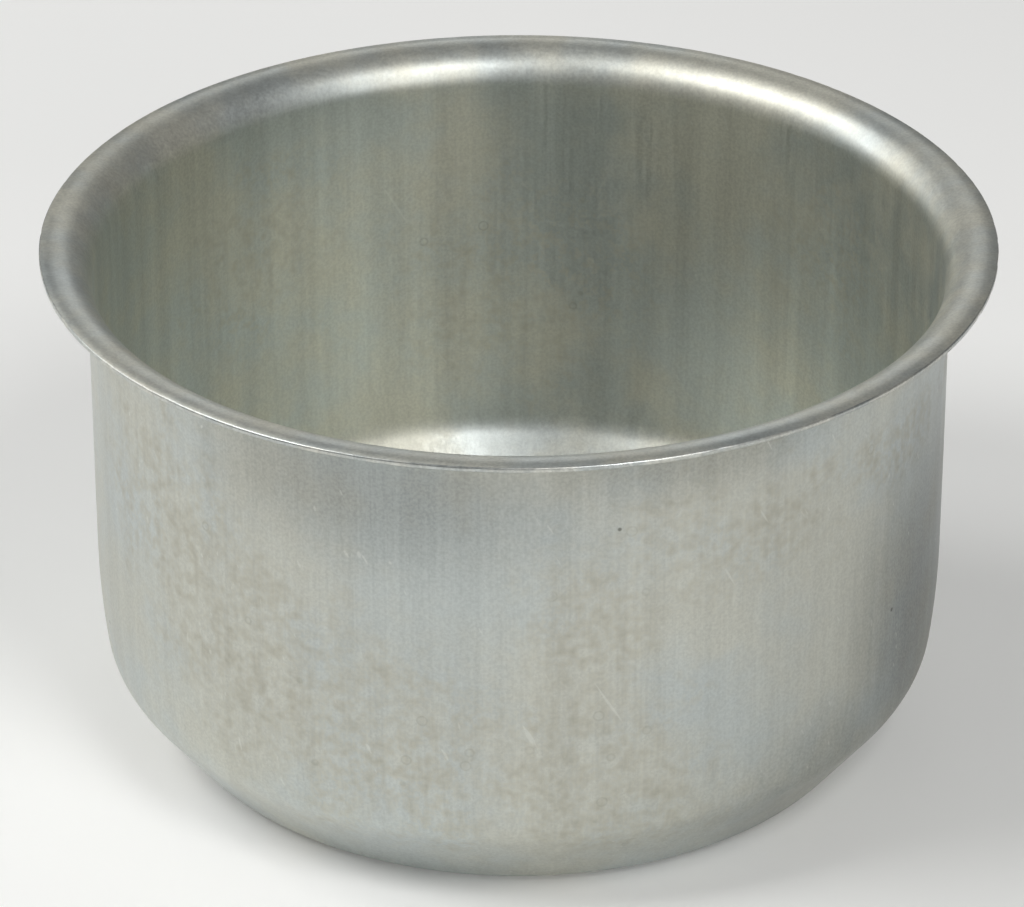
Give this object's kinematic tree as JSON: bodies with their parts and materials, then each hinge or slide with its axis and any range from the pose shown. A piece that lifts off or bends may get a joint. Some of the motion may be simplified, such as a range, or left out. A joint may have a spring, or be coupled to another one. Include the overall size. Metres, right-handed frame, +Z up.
{
  "type": "deep drawn metal cup",
  "caption": "Round deep drawn sheet metal cup with a flared flange, straight wall, bevelled lower band and flat base; holds or houses what is put in it.",
  "frame": {"origin": "centre of the flat base, on the face that the cup stands on", "axes": "+Z up along the axis of the draw, towards the open flange; the cup is round, so X and Y are free"},
  "size_m": [0.14, 0.14, 0.0789],
  "materials": {
    "drawn_steel": "matt satin, as drawn, with dried lubricant stains"
  },
  "bodies": {
    "root": {"cup_shell": "drawn_steel"}
  },
  "joints": []
}
